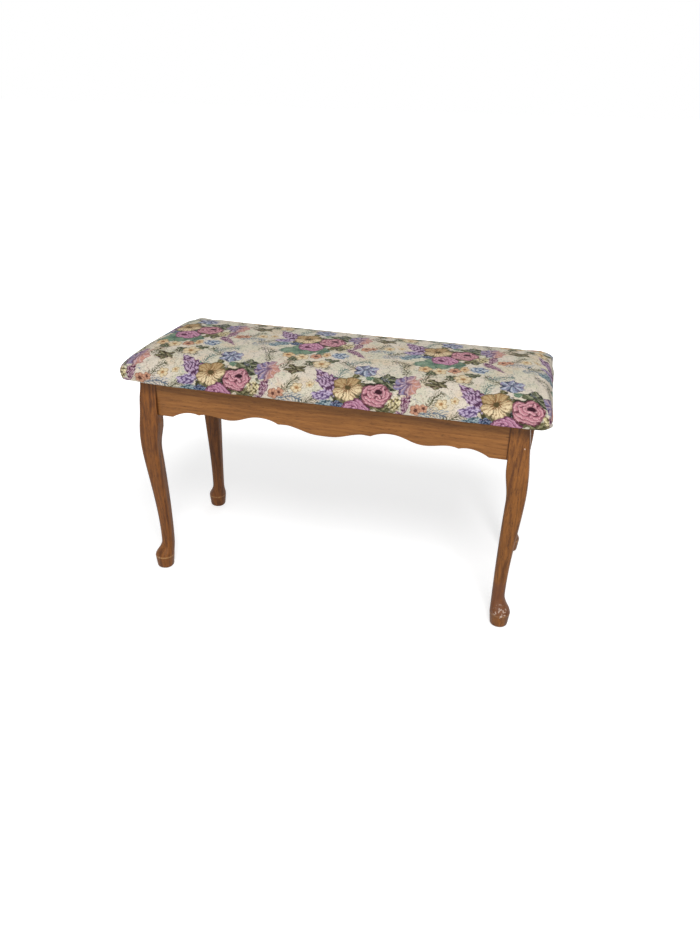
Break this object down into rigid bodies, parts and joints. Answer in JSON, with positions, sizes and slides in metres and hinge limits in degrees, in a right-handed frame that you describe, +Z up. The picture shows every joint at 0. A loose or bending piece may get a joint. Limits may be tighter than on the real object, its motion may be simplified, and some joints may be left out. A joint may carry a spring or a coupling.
{
  "type": "vanity bench",
  "caption": "Low upholstered bench with a floral tapestry pad, scalloped oak aprons and slender cabriole legs with pad feet, bolted at corner blocks.",
  "frame": {"origin": "on the floor, under the middle of the seat", "axes": "+X along the bench to the right as seen from the front, +Y to the back, +Z up"},
  "size_m": [0.762, 0.343, 0.4624],
  "materials": {
    "oak": "satin lacquer over honey stain",
    "block_wood": "raw sawn",
    "plywood": "raw sanded",
    "zinc_steel": "zinc plated",
    "tapestry": "woven floral tapestry",
    "wadding": "soft fibre",
    "foam": "open cell",
    "dust_cloth": "thin nonwoven"
  },
  "bodies": {
    "root": {"front_left_leg": "oak", "front_right_leg": "oak", "back_right_leg": "oak", "back_left_leg": "oak", "front_apron": "oak", "back_apron": "oak", "right_apron": "oak", "left_apron": "oak", "front_left_corner_block": "block_wood", "front_right_corner_block": "block_wood", "back_right_corner_block": "block_wood", "back_left_corner_block": "block_wood", "hanger_bolts": "zinc_steel", "bolt_washers": "zinc_steel", "bolt_nuts": "zinc_steel", "block_screws": "zinc_steel", "seat_screws": "zinc_steel", "seat_board": "plywood", "seat_foam": "foam", "seat_wadding": "wadding", "seat_cover": "tapestry", "dust_cover": "dust_cloth"}
  },
  "joints": []
}
